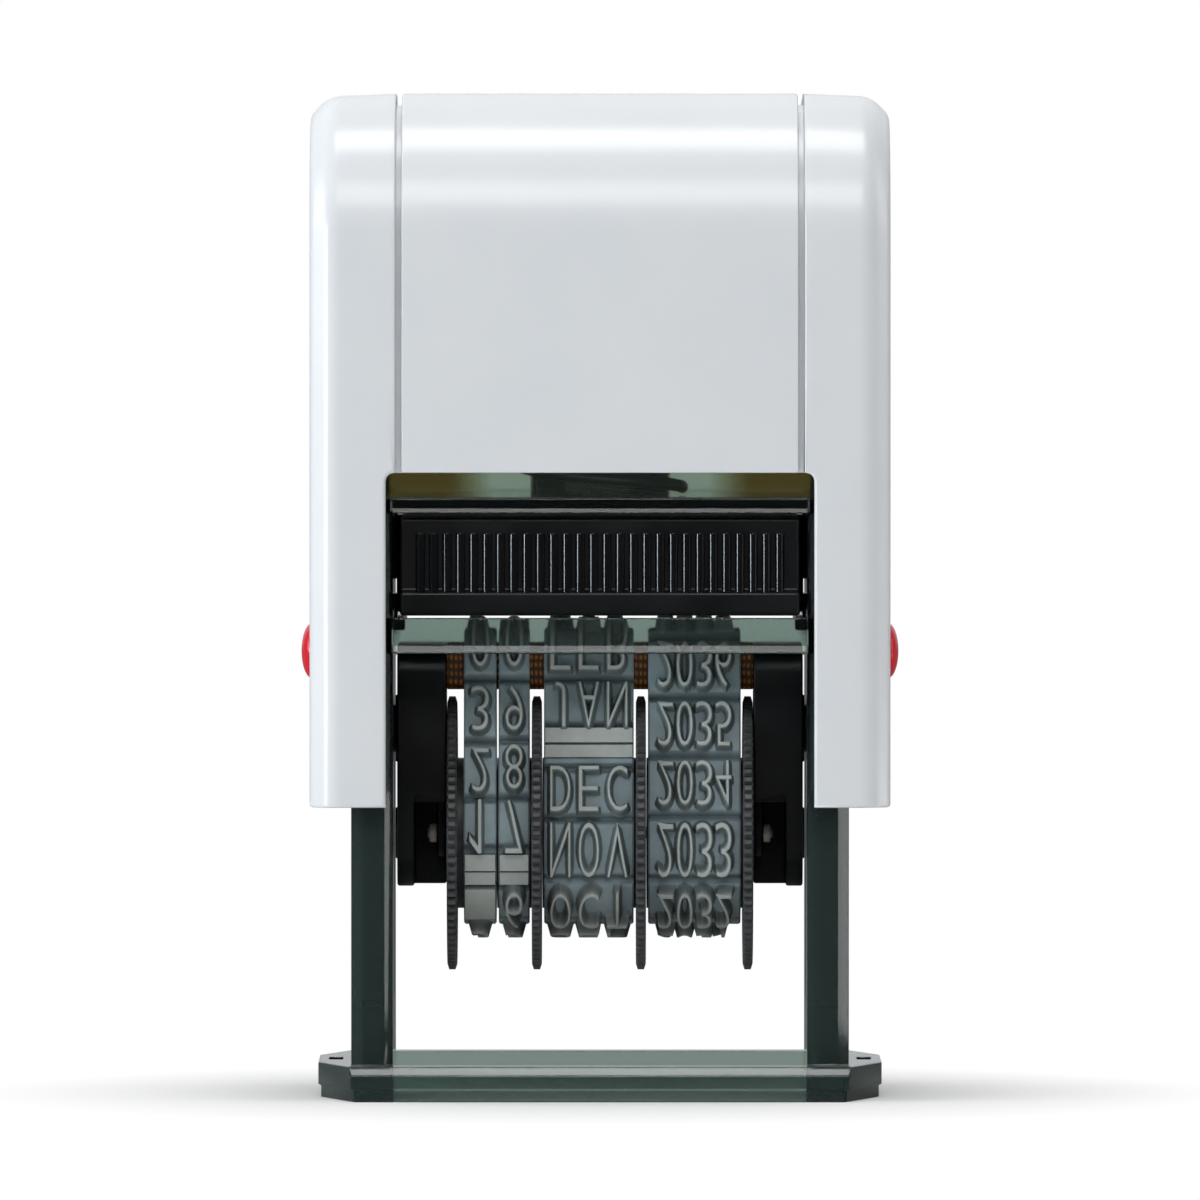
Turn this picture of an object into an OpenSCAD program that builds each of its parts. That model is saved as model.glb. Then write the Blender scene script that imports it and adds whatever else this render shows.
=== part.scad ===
/* [Cap] */
// Outside width of the cap across its cheeks
cap_w = 50.6; // [49:0.2:58]
// Outside depth of the cap, front to back
cap_d = 33; // [31:0.5:40]
// Wall of the cap
cap_wall = 2; // [1.7:0.1:2.4]
// Rounding of the cap's top edge at the front and rear
top_r = 12; // [8:0.5:12.5]
// Bevel along the cap's side edges
edge_bevel = 1.65; // [0.8:0.05:2]
// Height of the chamber that holds the return spring
spring_room = 33.3; // [32:0.1:40]
// Height of the clear strip between the frame top and the window top
strip_h = 2.3; // [1.5:0.1:2.8]
// Thickness of the saddle cover between the grooves
cover_t = 1; // [0.7:0.1:1.1]
// Width of the grooves beside the cover
groove_w = 0.55; // [0.4:0.05:0.8]

/* [Frame] */
// Height of the foot ring
base_h = 3.1; // [2.4:0.1:5]
// How far the foot stands out beyond each leg
foot_out = 2.95; // [2:0.05:3.5]
// Depth of the foot's front and rear bars
foot_bar = 2.5; // [2:0.1:5]
// How far back the foot's slanted corners run
foot_cut = 10; // [4:0.5:12]
// Chamfer along the top of the foot's front
foot_edge = 0.8; // [0.3:0.1:1]
// Thickness of a leg
leg_t = 3.65; // [3:0.05:5]
// Height of the front bar below the pad opening
bar_h = 3.1; // [2:0.1:3.2]

/* [Pad drawer] */
// Height of the pad drawer
tray_h = 8.5; // [7:0.1:12]
// Pitch of the ribs on the drawer's face
rib_pitch = 1.16; // [0.9:0.01:2]
// How far the ribs stand out
rib_out = 0.5; // [0.3:0.05:0.8]

/* [Date bands] */
// Width of the day-tens band
tens_w = 2.85; // [2.4:0.05:4]
// Width of the day-units band
units_w = 2.7; // [2.4:0.05:4]
// Width of the month band
month_w = 7.85; // [6:0.05:9.5]
// Width of the year band
year_w = 8.1; // [6:0.05:9.5]
// Thickness of a band
band_t = 1.1; // [0.8:0.05:1.4]
// Height of the raised characters above the band
relief = 1.2; // [0.6:0.05:1.5]
// Height of a character along its band
type_h = 4; // [3:0.1:4.4]

/* [Wheels] */
// Radius of a thumb wheel over its teeth
wheel_r = 11.75; // [11.2:0.05:12.5]
// Thickness of a thumb wheel's disc
wheel_t = 0.87; // [0.6:0.01:1.5]
// Teeth round a thumb wheel
wheel_teeth = 94; // [40:2:120]
// Radius of a wheel's hub inside its band
hub_r = 6.6; // [5:0.1:6.8]
// Radius of the axle
axle_r = 0.5; // [0.4:0.05:0.9]

/* [Flip] */
// Travel of the cap
travel = 22.2; // [21.5:0.1:26]
// Distance from the carrier's pivot down to the axle
drop = 9.2; // [8.6:0.05:9.8]
// Height of the platen bar
platen_h = 4.1; // [3.6:0.05:5]
// Radius of a pivot pin
pin_r = 2.1; // [1.5:0.05:2.2]

/* [Buttons] */
// Radius of a lock button
button_r = 2.5; // [2:0.05:2.8]
// How far a button stands out of the cap
button_out = 0.9; // [0.6:0.05:1.4]

/* [Hidden] */
$fn = 96;

// clearances
seat = 0.03;
fit = 0.05;
side_gap = 0.3;
run_gap = 0.2;
tens_gap = 0.6;
leg_gap = 0.3;
cap_gap = 1.6;
stop_gap = 0.35;
ink_gap = 0.3;
over = 1;
sink = 0.1;

// stack of wheels and bands along X, from left to right
bands_w = tens_w + units_w + month_w + year_w;
stack_w = 2 * side_gap + 4 * wheel_t + tens_gap + 6 * run_gap + bands_w;
plate_in = stack_w / 2;
tens_disc_x = side_gap - plate_in;
tens_x = tens_disc_x + wheel_t + tens_gap;
units_x = tens_x + tens_w + run_gap;
units_disc_x = units_x + units_w + run_gap;
month_x = units_disc_x + wheel_t + run_gap;
month_disc_x = month_x + month_w + run_gap;
year_x = month_disc_x + wheel_t + run_gap;
year_disc_x = year_x + year_w + run_gap;

// half widths across the legs and the cap
cap_half = cap_w / 2;
cap_in = cap_half - cap_wall;
leg_out = cap_in - cap_gap;
leg_in = leg_out - leg_t;
plate_out = leg_in - leg_gap;
reveal = 0.6;
window_half = leg_in + reveal;
groove_in = 1.1;
groove_half = window_half - groove_in;
foot_half = leg_out + foot_out;

// half depths
cap_y = cap_d / 2;
frame_gap = 0.5;
frame_y = cap_y - cap_wall - frame_gap;
skirt_in = 0.6;
skirt_y = frame_y - skirt_in;
skirt_t = 1.05;
skirt_end = 1;
skirt_half = leg_out - skirt_end;
lip_out = 0.2;

// band loop round the hub and the platen
band_in = hub_r + side_gap;
band_mid = band_in + band_t / 2;
turn_r = 0.9;
turn_mid = turn_r + band_t / 2;
flat_half = 1.6;
platen_slack = 0.1;
platen_y = flat_half + turn_r - platen_slack;
platen_gap = 0.9;
platen_low = wheel_r - drop + platen_gap;
platen_top = platen_low + platen_h;
face_h = platen_top + fit + band_t + relief;
rise = platen_top + fit - turn_r + drop;
span = sqrt(rise * rise + flat_half * flat_half);
lean = asin((band_mid - turn_mid) / span) - atan2(flat_half, rise);
run_l = sqrt(span * span - (band_mid - turn_mid) * (band_mid - turn_mid));
arc_small = turn_mid * (90 - lean) * PI / 180;
arc_big = band_mid * (90 + lean) * PI / 180;
loop_l = 2 * (flat_half + arc_small + run_l + arc_big);
places = 12;
place_l = loop_l / places;

// heights with the cap up
pivot_z = face_h + travel;
axle_z = pivot_z - drop;
pad_z = pivot_z + face_h + ink_gap;
sill_gap = 0.2;
sill_z = pad_z - sill_gap;
tray_top = pad_z + tray_h;
roof_gap = 0.4;
roof_t = 1.3;
frame_roof = tray_top + roof_gap;
frame_top = frame_roof + roof_t;
window_top = frame_top + strip_h;
skirt_over = 0.9;
skirt_top = window_top + skirt_over;
cap_low = base_h + stop_gap + travel;
cap_top = frame_top + spring_room + cap_wall;
rail_w = 1;
rail_h = 1;

// carrier plate
plate_y = 6.5;
plate_under = 2.4;
plate_below = 4.5;
recess_above = 2.9;
plate_top = face_h - plate_under;
plate_low = drop + plate_below;
recess_top = drop - recess_above;
recess_y = 1.5;
skin_t = 1.5;
web_t = 0.6;
lug_r = 2.2;
cam_r = 2.2;
boss_gap = 0.15;
boss_h = leg_gap - boss_gap;
boss_w = 0.8;
pin_cover = 0.8;
pin_deep = 1;
clip_t = 0.65;
clip_w = 0.35;
clip_r = axle_r + clip_w;
axle_end = 0.2;
axle_half = plate_in + web_t + clip_t + axle_end;

// buttons
button_up = 6.8;
button_z = pivot_z + button_up;
flange_w = 0.6;
flange_r = button_r + flange_w;
flange_t = 0.6;

// return spring
wire_r = 0.55;
coil_r = 7.2;
coils = 8;
spring_len = spring_room - 2 * seat;
post_gap = 0.5;
post_r = coil_r - wire_r - post_gap;
post_h = 4;

// pad drawer
tray_side = 0.6;
face_in = 1;
rear_in = 0.6;
tray_half = leg_in - tray_side;
tray_front = frame_y - face_in;
tray_rear = frame_y - rear_in;
pad_wall = 2;
pad_t = 3.8;

// shoulders on the drawer's sides, and the stops for them in the legs, as spans above its bottom
side_half = leg_in - run_gap;
side_front = 0;
side_rear = 5;
stop_t = 0.25;
stop_half = leg_in - stop_t;
stop_front = side_rear + run_gap;
stop_rear = 9;
stop_spans = [[-sill_gap - sink, 1.5], [2.8, tray_h + roof_gap + sink]];

echo(plate_t = plate_out - plate_in, height = cap_top, foot_w = 2 * foot_half, pitch = place_l, lean = lean);
echo(pivot_z = pivot_z, axle_z = axle_z, pad_z = pad_z, window_top = window_top, cap_low = cap_low);

// a 2D shape in Y and Z made solid along X between two places
module along_x(from, to) {
    translate([from, 0, 0])
        rotate([90, 0, 90])
            linear_extrude(to - from)
                children();
}

// a 2D shape in X and Z made solid along Y between two places
module along_y(from, to) {
    translate([0, to, 0])
        rotate([90, 0, 0])
            linear_extrude(to - from)
                children();
}

// a round bar along X between two places, about a line at height z
module bar_x(r, from, to, z) {
    translate([from, 0, z])
        rotate([0, 90, 0])
            cylinder(r = r, h = to - from);
}

// a box between two corners
module span_box(low, high) {
    translate(low)
        cube(high - low);
}

// side view of the cap, inset from its outer faces
module cap_side(inset) {
    r = top_r - inset;
    y = cap_y - inset;
    top = cap_top - inset;
    translate([-y, 0])
        square([2 * y, top - r]);
    translate([r - y, 0])
        square([2 * (y - r), top]);
    for (side = [-1, 1])
        translate([side * (y - r), top - r])
            circle(r);
}

// front view of the cap
module cap_front() {
    slope = 0.25;
    polygon([
        [-cap_half, cap_low], [cap_half, cap_low],
        [cap_half, cap_top - slope - edge_bevel], [cap_half - edge_bevel, cap_top - slope],
        [groove_half, cap_top], [-groove_half, cap_top],
        [edge_bevel - cap_half, cap_top - slope], [-cap_half, cap_top - slope - edge_bevel]
    ]);
}

// a rectangle about the origin with rounded corners
module round_rect(w, d, r) {
    square([w - 2 * r, d], center = true);
    square([w, d - 2 * r], center = true);
    for (x = [-1, 1], y = [-1, 1])
        translate([x * (w / 2 - r), y * (d / 2 - r)])
            circle(r);
}

// a leg's outline seen from above, with bevelled edges
module leg_plan() {
    out = 1;
    in = 0.8;
    polygon([
        [leg_in, in - frame_y], [leg_in + in, -frame_y], [leg_out - out, -frame_y], [leg_out, out - frame_y],
        [leg_out, frame_y - out], [leg_out - out, frame_y], [leg_in + in, frame_y], [leg_in, frame_y - in]
    ]);
}

// the foot's outline seen from above, inset from its edges, with slanted corners
module foot_plan(inset) {
    x = leg_out - inset;
    wide = foot_half - inset;
    y = cap_y - inset;
    side = cap_y - foot_cut;
    polygon([
        [-x, -y], [x, -y], [wide, -side], [wide, side],
        [x, y], [-x, y], [-wide, side], [-wide, -side]
    ]);
}

// side view of a lip along a lower front edge, with a sloping face
module lip_side(out, high) {
    edge = 0.1;
    polygon([[sink, 0], [-out, 0], [-out, edge], [0, high], [sink, high]]);
}

// side view of a crossbar at the front
module bar_side() {
    wall = 1.35;
    lip_h = 0.7;
    translate([-frame_y, sill_z - bar_h]) {
        square([wall, bar_h]);
        lip_side(lip_out, lip_h);
    }
}

module cap_shell() {
    corner = 0.7;
    pin_boss = 1.1;
    boss_r = pin_r + pin_boss;
    color("#e9ecee")
    difference() {
        union() {
            difference() {
                intersection() {
                    along_x(-cap_half, cap_half) cap_side(0);
                    along_y(-cap_y, cap_y) cap_front();
                    translate([0, 0, cap_low])
                        linear_extrude(cap_top)
                            round_rect(2 * cap_half, cap_d, edge_bevel);
                }
                along_x(-cap_in, cap_in) cap_side(cap_wall);
                translate([0, 0, cap_low - over])
                    along_y(-cap_y - over, cap_y + over) {
                        translate([0, (window_top - cap_low + over) / 2])
                            round_rect(2 * window_half, window_top - cap_low + over, corner);
                    }
                along_x(-groove_half - groove_w / 2, groove_half + groove_w / 2)
                    difference() {
                        translate([-cap_d, window_top])
                            square([2 * cap_d, cap_top]);
                        cap_side(cover_t);
                    }
            }
            for (side = [0, 1])
                mirror([side, 0, 0])
                    bar_x(boss_r, leg_out + side_gap, cap_in + sink, pivot_z);
            translate([0, 0, cap_top - cap_wall - post_h])
                cylinder(r = post_r, h = post_h + sink);
        }
        for (side = [0, 1])
            mirror([side, 0, 0]) {
                bar_x(pin_r + fit, leg_out - over, cap_in + pin_deep, pivot_z);
                bar_x(button_r + fit, cap_in - over, cap_half + over, button_z);
            }
    }
}

module centre_cover() {
    half = groove_half - groove_w / 2;
    color("#eef0f2")
    intersection() {
        along_x(-half, half)
            difference() {
                cap_side(0);
                cap_side(cover_t - seat);
            }
        span_box([-half, -cap_d, window_top], [half, cap_d, cap_top + over]);
    }
}

module base_frame() {
    slot_gap = 0.15;
    slot_half = pin_r + slot_gap;
    slot_low = face_h - pin_r - side_gap;
    slot_high = pivot_z + pin_r + side_gap;
    stub_h = 2.5;
    rear_drop = 0.8;
    rim_out = 0.12;
    rim_h = 0.45;
    sole_h = 1.1;
    sole_in = 0.25;
    mark = [1.2, 5, 1];
    color("#2f3d3b")
    difference() {
        union() {
            linear_extrude(sole_h)
                foot_plan(sole_in);
            translate([0, 0, sole_h])
                linear_extrude(base_h - sole_h)
                    foot_plan(0);
            for (side = [0, 1])
                mirror([side, 0, 0]) {
                    linear_extrude(frame_top)
                        leg_plan();
                    span_box([leg_in - rail_w, -frame_y, sill_z - rail_h], [leg_in + sink, frame_y, sill_z]);
                    for (up = stop_spans)
                        span_box([stop_half, stop_front, pad_z + up[0]],
                            [leg_in + sink, stop_rear, pad_z + up[1]]);
                }
            along_x(-leg_in - sink, leg_in + sink)
                bar_side();
            translate([0, 0, -rear_drop])
                mirror([0, 1, 0])
                    along_x(-leg_in - sink, leg_in + sink)
                        bar_side();
            span_box([-leg_in - sink, -frame_y, frame_roof], [leg_in + sink, frame_y, frame_top]);
            along_x(-leg_in - sink, leg_in + sink)
                translate([-frame_y, frame_roof])
                    lip_side(rim_out, rim_h);
            for (side = [0, 1])
                mirror([0, side, 0])
                    span_box([-skirt_half, -skirt_y, frame_top - sink],
                        [skirt_half, skirt_t - skirt_y, skirt_top]);
            translate([0, 0, frame_top - sink])
                cylinder(r = post_r, h = stub_h);
        }
        span_box([-leg_in, foot_bar - cap_y, -over], [leg_in, cap_y - foot_bar, base_h + over]);
        along_x(-foot_half - over, foot_half + over)
            translate([-cap_y, base_h])
                polygon([[-over, over], [-over, -foot_edge - over], [foot_edge + over, over]]);
        for (side = [0, 1])
            mirror([side, 0, 0]) {
                span_box([leg_in - over, -slot_half, slot_low + slot_half],
                    [leg_out + over, slot_half, slot_high - slot_half]);
                bar_x(slot_half, leg_in - over, leg_out + over, slot_low + slot_half);
                bar_x(slot_half, leg_in - over, leg_out + over, slot_high - slot_half);
                translate([leg_out + foot_out / 2 - mark.x / 2, -mark.y / 2, base_h - mark.z])
                    cube([mark.x, mark.y, mark.z + over]);
            }
    }
}

module pad_tray() {
    ledge_h = 2.1;
    ledge_out = 0.6;
    rib_w = 0.45;
    rib_end = 0.75;
    rib_over = 1.5;
    ribs = floor(2 * (tray_half - rib_end) / rib_pitch);
    color("#141618")
    difference() {
        union() {
            span_box([-tray_half, -tray_front, pad_z], [tray_half, tray_rear, tray_top]);
            span_box([-side_half, side_front, pad_z], [side_half, side_rear, tray_top]);
            span_box([-tray_half, -tray_front - ledge_out, pad_z],
                [tray_half, sink - tray_front, pad_z + ledge_h]);
            for (i = [0 : ribs - 1])
                translate([(i - (ribs - 1) / 2) * rib_pitch - rib_w / 2, 0, pad_z + ledge_h])
                    translate([0, -tray_front - rib_out, 0])
                        cube([rib_w, rib_out + sink, tray_h - ledge_h - rib_over]);
        }
        span_box([pad_wall - tray_half, pad_wall - tray_front, pad_z - over],
            [tray_half - pad_wall, tray_rear - pad_wall, pad_z + pad_t]);
    }
}

module ink_pad() {
    in = pad_wall + seat;
    color("#1d1b2a")
    span_box([in - tray_half, in - tray_front, pad_z],
        [tray_half - in, tray_rear - in, pad_z + pad_t - seat]);
}

// middle of the wire at a turn of the spring, as a fraction of its length
function coil_at(t) = [
    coil_r * cos(360 * coils * t), coil_r * sin(360 * coils * t),
    frame_top + seat + wire_r + t * (spring_len - 2 * wire_r)
];
// a point on the skin of the wire
function coil_skin(t, a) = coil_at(t) + wire_r * [
    cos(a) * cos(360 * coils * t), cos(a) * sin(360 * coils * t), sin(a)
];

module return_spring() {
    rings_per_coil = 8;
    rings = coils * rings_per_coil;
    sides = 6;
    points = [for (i = [0 : rings], j = [0 : sides - 1]) coil_skin(i / rings, 360 * j / sides)];
    walls = [
        for (i = [0 : rings - 1], j = [0 : sides - 1])
            let (next = (j + 1) % sides, here = i * sides, after = here + sides)
                each [[here + j, here + next, after + next], [here + j, after + next, after + j]]
    ];
    last = rings * sides;
    ends = [for (j = [1 : sides - 2]) each [[0, j + 1, j], [last, last + j, last + j + 1]]];
    gaps = [
        for (i = [0 : rings - rings_per_coil])
            norm(coil_at((i + rings_per_coil) / rings) - coil_at(i / rings)) - 2 * wire_r
    ];
    echo(spring_gap = min(gaps));
    color("#8d9296")
    polyhedron(points, concat(walls, ends));
}

// a lock button on the right side
module button() {
    ball = (button_r * button_r + button_out * button_out) / (2 * button_out);
    stem_r = button_r - fit;
    stem_l = cap_wall + seat;
    color("#d9152b")
    translate([cap_in - seat, 0, button_z])
        rotate([0, 90, 0])
            rotate_extrude() {
                translate([0, -flange_t])
                    square([flange_r, flange_t]);
                translate([0, -sink])
                    square([stem_r, stem_l + sink]);
                intersection() {
                    translate([0, stem_l + button_out - ball])
                        circle(ball);
                    translate([0, stem_l - sink])
                        square([stem_r, button_out + over]);
                }
            }
}

module left_button() {
    mirror([1, 0, 0]) button();
}

module right_button() {
    button();
}

// a carrier plate on the right side, with a lug for the axle below its recess
module carrier_plate() {
    corner = 2.5;
    color("#15171a")
    difference() {
        union() {
            difference() {
                along_x(plate_in + seat, plate_out)
                    translate([0, pivot_z + (plate_top - plate_low) / 2])
                        round_rect(2 * plate_y, plate_top + plate_low, corner);
                span_box([plate_in - over, -plate_y - over, pivot_z - plate_low - over],
                    [plate_out - skin_t, recess_y, pivot_z - recess_top]);
            }
            along_x(plate_in + seat, plate_in + web_t) {
                translate([0, axle_z])
                    circle(lug_r);
                translate([-lug_r, axle_z])
                    square([2 * lug_r, pivot_z - recess_top - axle_z + sink]);
            }
            bar_x(pin_r + boss_w, plate_out - sink, plate_out + boss_h, pivot_z);
            bar_x(cam_r, plate_out - sink, plate_out + boss_h, axle_z);
        }
        bar_x(pin_r + seat, plate_in + pin_cover, plate_out + over, pivot_z);
        bar_x(axle_r + seat, plate_in - over, plate_in + web_t + over, axle_z);
    }
}

module left_carrier_plate() {
    mirror([1, 0, 0]) carrier_plate();
}

module right_carrier_plate() {
    carrier_plate();
}

module platen_bar() {
    corner = 0.8;
    color("#5a3a16")
    along_x(-plate_in, plate_in)
        translate([0, pivot_z + (platen_low + platen_top) / 2])
            round_rect(2 * platen_y, platen_h, corner);
}

// a pivot pin on the right side
module pivot_pin() {
    color("#2a3230")
    bar_x(pin_r, plate_in + pin_cover + seat, cap_in + pin_deep - side_gap, pivot_z);
}

module left_pivot_pin() {
    mirror([1, 0, 0]) pivot_pin();
}

module right_pivot_pin() {
    pivot_pin();
}

module wheel_axle() {
    color("#c9ccce")
    bar_x(axle_r, -axle_half, axle_half, axle_z);
}

module axle_clips() {
    clip_x = plate_in + web_t + seat;
    color("#c9ccce")
    for (side = [0, 1])
        mirror([side, 0, 0])
            difference() {
                bar_x(clip_r, clip_x, clip_x + clip_t, axle_z);
                bar_x(axle_r + seat, clip_x - over, clip_x + clip_t + over, axle_z);
            }
}

// the filled side view of a band loop, a distance out from its middle layer
module loop_side(out) {
    big = band_mid + out;
    small = turn_mid + out;
    across = cos(lean);
    up = sin(lean);
    circle(big);
    polygon([
        [-big * across, big * up], [-flat_half - small * across, rise + small * up],
        [-flat_half, rise], [-flat_half, rise + small], [flat_half, rise + small], [flat_half, rise],
        [flat_half + small * across, rise + small * up], [big * across, big * up], [0, 0]
    ]);
    for (side = [-1, 1])
        translate([side * flat_half, rise])
            circle(small);
}

// place on a band's front half at a length from the top: depth, height and tilt
function on_turn(t) = [-flat_half - turn_mid * sin(t), rise + turn_mid * cos(t), t];
function on_run(u) = on_turn(90 - lean) + u * [-sin(lean), -cos(lean), 0];
function on_hub(t) = [-band_mid * sin(t), band_mid * cos(t), t];
function on_loop(s) =
    s <= flat_half ? [-s, rise + turn_mid, 0]
    : s <= flat_half + arc_small ? on_turn((s - flat_half) / turn_mid * 180 / PI)
    : s <= flat_half + arc_small + run_l ? on_run(s - flat_half - arc_small)
    : on_hub(90 - lean + (s - flat_half - arc_small - run_l) / band_mid * 180 / PI);

// a band with a row of raised characters at each place
module band(x, w, letters) {
    margin = 0.35;
    space = 0.25;
    letter_w = (w - 2 * margin - (letters - 1) * space) / letters;
    color("#76848a")
    translate([0, 0, axle_z]) {
        along_x(x, x + w)
            difference() {
                loop_side(band_t / 2);
                loop_side(-band_t / 2);
            }
        for (k = [0 : places - 1], i = [0 : letters - 1]) {
            front = k <= places / 2;
            at = on_loop((front ? k : places - k) * place_l);
            translate([x + margin + i * (letter_w + space), (front ? 1 : -1) * at[0], at[1]])
                rotate([(front ? 1 : -1) * at[2], 0, 0])
                    translate([0, -type_h / 2, 0])
                        cube([letter_w, type_h, band_t / 2 + relief]);
        }
    }
}

module tens_band() {
    band(tens_x, tens_w, 1);
}

module units_band() {
    band(units_x, units_w, 1);
}

module month_band() {
    band(month_x, month_w, 3);
}

module year_band() {
    band(year_x, year_w, 4);
}

// a thumb wheel with a hub that reaches under its band
module wheel(disc_x, hub_from, hub_to) {
    tooth = 0.35;
    step = 180 / wheel_teeth;
    color("#1a1c1f")
    difference() {
        union() {
            translate([0, 0, axle_z])
                along_x(disc_x, disc_x + wheel_t)
                    polygon([
                        for (i = [0 : 2 * wheel_teeth - 1])
                            (wheel_r - tooth * (i % 2)) * [cos(i * step), sin(i * step)]
                    ]);
            bar_x(hub_r, hub_from, hub_to, axle_z);
        }
        bar_x(axle_r + fit, -plate_out, plate_out, axle_z);
    }
}

module tens_wheel() {
    wheel(tens_disc_x, tens_disc_x, tens_x + tens_w);
}

module units_wheel() {
    wheel(units_disc_x, units_x, units_disc_x + wheel_t);
}

module month_wheel() {
    wheel(month_disc_x, month_x, month_disc_x + wheel_t);
}

module year_wheel() {
    wheel(year_disc_x, year_x, year_disc_x + wheel_t);
}

base_frame();
pad_tray();
ink_pad();
cap_shell();
centre_cover();
return_spring();
left_button();
right_button();
left_carrier_plate();
right_carrier_plate();
platen_bar();
left_pivot_pin();
right_pivot_pin();
wheel_axle();
axle_clips();
tens_band();
units_band();
month_band();
year_band();
tens_wheel();
units_wheel();
month_wheel();
year_wheel();
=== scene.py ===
# %% [markdown]
# # A self-inking date stamp
# A white cap slides down over a smoky clear frame. Inside, a black carrier holds four rubber
# date bands; as the cap goes down the carrier turns over and prints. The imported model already
# holds every solid in its place, so the first step is only to load it and to keep its box.

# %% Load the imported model
import math

import bmesh
import bpy
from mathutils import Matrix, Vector


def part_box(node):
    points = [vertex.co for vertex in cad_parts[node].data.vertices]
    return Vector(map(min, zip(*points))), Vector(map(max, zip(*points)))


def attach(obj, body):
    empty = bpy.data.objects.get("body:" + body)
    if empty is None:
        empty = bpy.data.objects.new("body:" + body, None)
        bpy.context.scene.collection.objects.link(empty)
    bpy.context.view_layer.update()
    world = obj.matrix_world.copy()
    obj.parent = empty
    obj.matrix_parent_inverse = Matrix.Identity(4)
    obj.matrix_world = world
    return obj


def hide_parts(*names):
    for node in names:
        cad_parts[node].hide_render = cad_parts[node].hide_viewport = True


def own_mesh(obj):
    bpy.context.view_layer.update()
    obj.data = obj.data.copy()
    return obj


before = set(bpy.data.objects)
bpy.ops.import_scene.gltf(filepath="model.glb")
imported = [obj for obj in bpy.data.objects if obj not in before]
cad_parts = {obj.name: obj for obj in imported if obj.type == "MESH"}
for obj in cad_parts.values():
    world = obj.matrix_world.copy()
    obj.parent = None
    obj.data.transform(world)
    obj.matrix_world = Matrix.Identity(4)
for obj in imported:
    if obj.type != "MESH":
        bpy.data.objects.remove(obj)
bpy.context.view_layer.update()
scene = bpy.context.scene
MM = 0.001

# %% [markdown]
# ## Helpers for every finish
# Hex colours are written the way a screen shows them, and shaders work in linear light, so one
# function turns the first into the second. Node trees are long to write by hand: a second
# function adds a node, sets its options, and sets or links its inputs in one call. It puts the
# family name before the node's kind, and a node or a socket tells it which tree is meant. A few
# nodes come back in most finishes, and each of those has a short function of its own.

# %% Colour and node helpers
def linear(code):
    """An sRGB hex colour as linear RGBA."""
    parts = [int(code[i:i + 2], 16) / 255 for i in (1, 3, 5)]
    return [p / 12.92 if p <= 0.04045 else ((p + 0.055) / 1.055) ** 2.4 for p in parts] + [1]


FAMILY = {"SHADER": "ShaderNode", "GEOMETRY": "GeometryNode"}


def add(place, kind, inputs=None, **settings):
    """A new node in a tree, or beside a node or socket; a node as input gives its first output."""
    tree = place.id_data
    node = tree.nodes.new(kind if "Node" in kind else FAMILY[tree.type] + kind)
    for name, value in settings.items():
        setattr(node, name, value)
    for key, value in (inputs or {}).items():
        if isinstance(value, bpy.types.Node):
            value = value.outputs[0]
        if isinstance(value, bpy.types.NodeSocket):
            tree.links.new(value, node.inputs[key])
        else:
            node.inputs[key].default_value = value
    return node


def new_finish(name):
    """A material with a bare tree, and the places on a piece."""
    material = bpy.data.materials.new(name)
    material.use_nodes = True
    material.node_tree.nodes.clear()
    print("finish:", name)
    return material, add(material.node_tree, "TexCoord").outputs["Object"]


print("white as linear light:", linear("#ffffff"))

# %% Nodes that most finishes use
# sockets of a Mix node that mixes two colours
FACTOR, FIRST, SECOND, MIXED = 0, 6, 7, 2


def per_mm(size):
    """A texture scale whose features are about this many millimetres across."""
    return 1 / (size * MM)


def noise(where, size, detail, distortion=0.0):
    """Noise from 0 to 1 with features of a size in millimetres."""
    return add(where, "TexNoise", {
        "Vector": where, "Scale": per_mm(size), "Detail": detail, "Distortion": distortion})


def remap(value, start, end, first=0.0, last=1.0):
    """A value that runs from start to end, made to run from first to last."""
    return add(value, "MapRange", {
        "Value": value, "From Min": start, "From Max": end, "To Min": first, "To Max": last})


def reckon(operation, first, second=0.0, clamp=False):
    """A sum of one or two values."""
    place = second if isinstance(first, float) else first
    return add(
        place, "ShaderNodeMath", {0: first, 1: second}, operation=operation, use_clamp=clamp)


def tint(share, first, second):
    """A colour between two others, each a hex code or an output."""
    first, second = (linear(c) if isinstance(c, str) else c for c in (first, second))
    ends = {FACTOR: share, FIRST: first, SECOND: second}
    return add(share, "Mix", ends, data_type="RGBA").outputs[MIXED]


def layer(share, under, over):
    """One surface over another."""
    return add(share, "MixShader", {0: share, 1: under, 2: over})


def bump(height, strength, depth):
    """A normal that follows a height; the depth is in millimetres."""
    return add(height, "Bump", {"Height": height, "Strength": strength, "Distance": depth * MM})


def coat(colour, roughness, **more):
    """A Principled surface, sent to the output of its material."""
    named = {key.replace("_", " "): value for key, value in more.items()}
    skin = add(colour, "BsdfPrincipled", {
        "Base Color": colour, "Roughness": roughness, **named})
    add(skin, "OutputMaterial", {"Surface": skin})


print("noise of 2 mm has scale", per_mm(2))

# %% [markdown]
# ## Gloss white ABS
# The cap is moulded in ABS from a polished tool. The eye sees a clean white with a sharp gloss,
# a barely wavy surface where the plastic shrank as it cooled, and faint handling haze in the
# gloss. The wave is a soft noise of about 9 mm, the haze a finer one in the roughness.

# %% Finish: gloss white ABS
ABS_IOR = 1.53
white_abs, where = new_finish("gloss_white_abs")
wave, haze = noise(where, 9, 1.0), noise(where, 1.6, 2.0)
coat(tint(wave, "#E4E7EA", "#EBEDEF"), remap(haze, 0.2, 0.8, 0.22, 0.26),
     IOR=ABS_IOR, Normal=bump(wave, 0.06, 0.2))

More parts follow.
